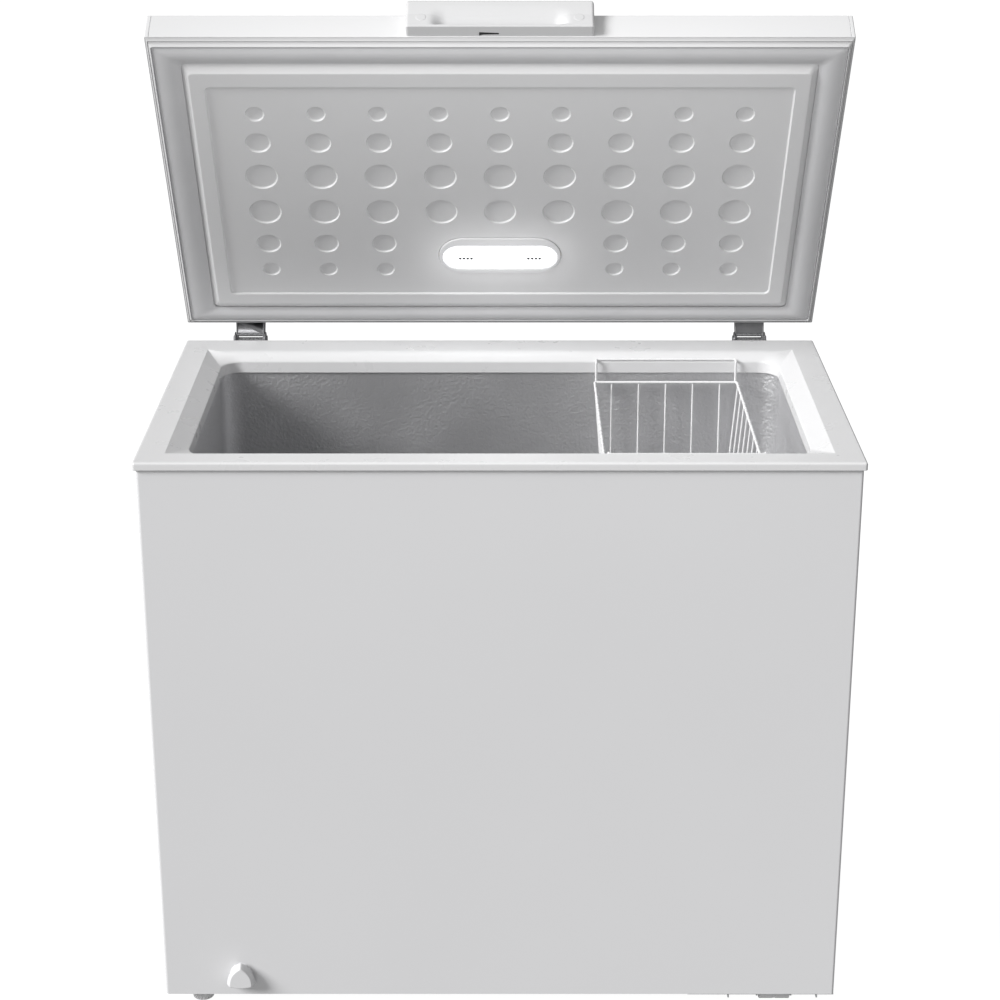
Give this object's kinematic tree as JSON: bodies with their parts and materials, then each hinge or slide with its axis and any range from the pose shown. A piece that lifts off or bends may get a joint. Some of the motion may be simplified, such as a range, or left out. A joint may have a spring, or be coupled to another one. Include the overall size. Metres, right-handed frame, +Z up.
{
  "type": "chest freezer",
  "caption": "Free-standing chest freezer: foamed steel cabinet, plastic rim, sprung hinged lid with handle and lamp, wire basket, front drain, feet and rollers.",
  "frame": {"origin": "on the floor, midway between the sides and midway between the front of the drain dial and the back of the open lid", "axes": "+X to the right seen from the front, +Y from the front to the hinge side, +Z up"},
  "size_m": [0.945, 0.6268, 1.3556],
  "materials": {
    "painted_steel": "satin",
    "zinc_sheet": "satin",
    "stucco_aluminium": "satin",
    "foam": "matte",
    "white_rim": "satin",
    "aluminium_tube": "satin",
    "steel_tube": "satin",
    "copper": "satin",
    "black_steel": "gloss",
    "black_rubber": "matte",
    "black_plastic": "matte",
    "grey_plastic": "satin",
    "white_plastic": "satin",
    "foot_plastic": "satin",
    "roller_plastic": "satin",
    "zinc_steel": "satin",
    "hinge_zinc": "satin",
    "spring_steel": "satin",
    "lid_white": "satin",
    "liner_plastic": "satin",
    "gasket_pvc": "satin",
    "frame_plastic": "satin",
    "handle_plastic": "satin",
    "lamp_frame": "satin",
    "circuit_board": "satin",
    "led_chip": "satin",
    "lamp_lens": "gloss",
    "basket_wire": "satin"
  },
  "bodies": {
    "cabinet": {"outer_shell": "painted_steel", "back_panel": "zinc_sheet", "bottom_panel": "zinc_sheet", "compartment_panel": "zinc_sheet", "inner_liner": "stucco_aluminium", "cabinet_insulation": "foam", "top_rim": "white_rim", "evaporator_coil": "aluminium_tube", "condenser_coil": "steel_tube", "liquid_line": "copper", "compressor": "black_steel", "compressor_plate": "zinc_sheet", "compressor_grommets": "black_rubber", "start_relay": "black_plastic", "filter_drier": "copper", "suction_line": "copper", "discharge_line": "copper", "capillary_tube": "copper", "vent_grille": "grey_plastic", "thermostat_box": "black_plastic", "cord_gland": "black_plastic", "foot_inserts": "black_plastic", "roller_brackets": "zinc_sheet", "roller_axles": "zinc_steel", "drain_tube": "white_plastic", "drain_socket": "white_plastic", "hinge_housings": "hinge_zinc", "hinge_pins": "zinc_steel", "hinge_springs": "spring_steel", "housing_screws": "zinc_steel"},
    "lid": {"lid_skin": "lid_white", "lid_insulation": "foam", "lid_liner": "liner_plastic", "lid_gasket": "gasket_pvc", "lid_frame": "frame_plastic", "lid_hinge_leaves": "hinge_zinc", "leaf_screws": "zinc_steel", "handle": "handle_plastic", "handle_screw_caps": "handle_plastic", "lock_insert": "black_plastic", "lamp_housing": "lamp_frame", "lamp_board": "circuit_board", "lamp_leds": "led_chip", "lamp_lens": "lamp_lens"},
    "basket": {"basket_rim": "basket_wire", "basket_left": "basket_wire", "basket_right": "basket_wire", "basket_front": "basket_wire", "basket_back": "basket_wire", "basket_floor": "basket_wire", "basket_hangers": "basket_wire"},
    "knob": {"thermostat_knob": "white_plastic"},
    "front_left_foot": {"front_foot": "foot_plastic"},
    "rear_left_foot": {"rear_foot": "foot_plastic"},
    "front_right_roller": {"front_roller": "roller_plastic"},
    "rear_right_roller": {"rear_roller": "roller_plastic"},
    "floor_plug": {"drain_plug": "black_rubber"},
    "front_drain_dial": {"drain_dial": "white_plastic"}
  },
  "joints": [
    {"name": "lid_hinge", "type": "hinge", "parent": "cabinet", "child": "lid", "pos_m": [0, 0.27632, 0.81], "axis": [-1, 0, 0], "range_deg": [-59.4, 25.6], "deforming": ["hinge_springs"]},
    {"name": "basket_slide", "type": "slide", "parent": "cabinet", "child": "basket", "axis": [1, 0, 0], "range_m": [-0.53, 0.035]},
    {"name": "drain_dial_turn", "type": "hinge", "parent": "cabinet", "child": "front_drain_dial", "pos_m": [-0.3615, -0.30208, 0.057], "axis": [0, -1, 0], "range_deg": [0, 180]},
    {"name": "drain_plug_lift", "type": "slide", "parent": "cabinet", "child": "floor_plug", "axis": [0, 0, 1], "range_m": [0, 0.06]},
    {"name": "thermostat_turn", "type": "hinge", "parent": "cabinet", "child": "knob", "pos_m": [0.4685, -0.15268, 0.151], "axis": [1, 0, 0], "range_deg": [0, 300]},
    {"name": "front_foot_turn", "type": "hinge", "parent": "cabinet", "child": "front_left_foot", "pos_m": [-0.421, -0.26168, 0], "axis": [0, 0, 1], "continuous": true},
    {"name": "rear_foot_turn", "type": "hinge", "parent": "cabinet", "child": "rear_left_foot", "pos_m": [-0.421, 0.21632, 0], "axis": [0, 0, 1], "continuous": true},
    {"name": "front_roller_spin", "type": "hinge", "parent": "cabinet", "child": "front_right_roller", "pos_m": [0.388, -0.26768, 0.0095], "axis": [1, 0, 0], "continuous": true},
    {"name": "rear_roller_spin", "type": "hinge", "parent": "cabinet", "child": "rear_right_roller", "pos_m": [0.388, 0.22232, 0.0095], "axis": [1, 0, 0], "continuous": true}
  ]
}
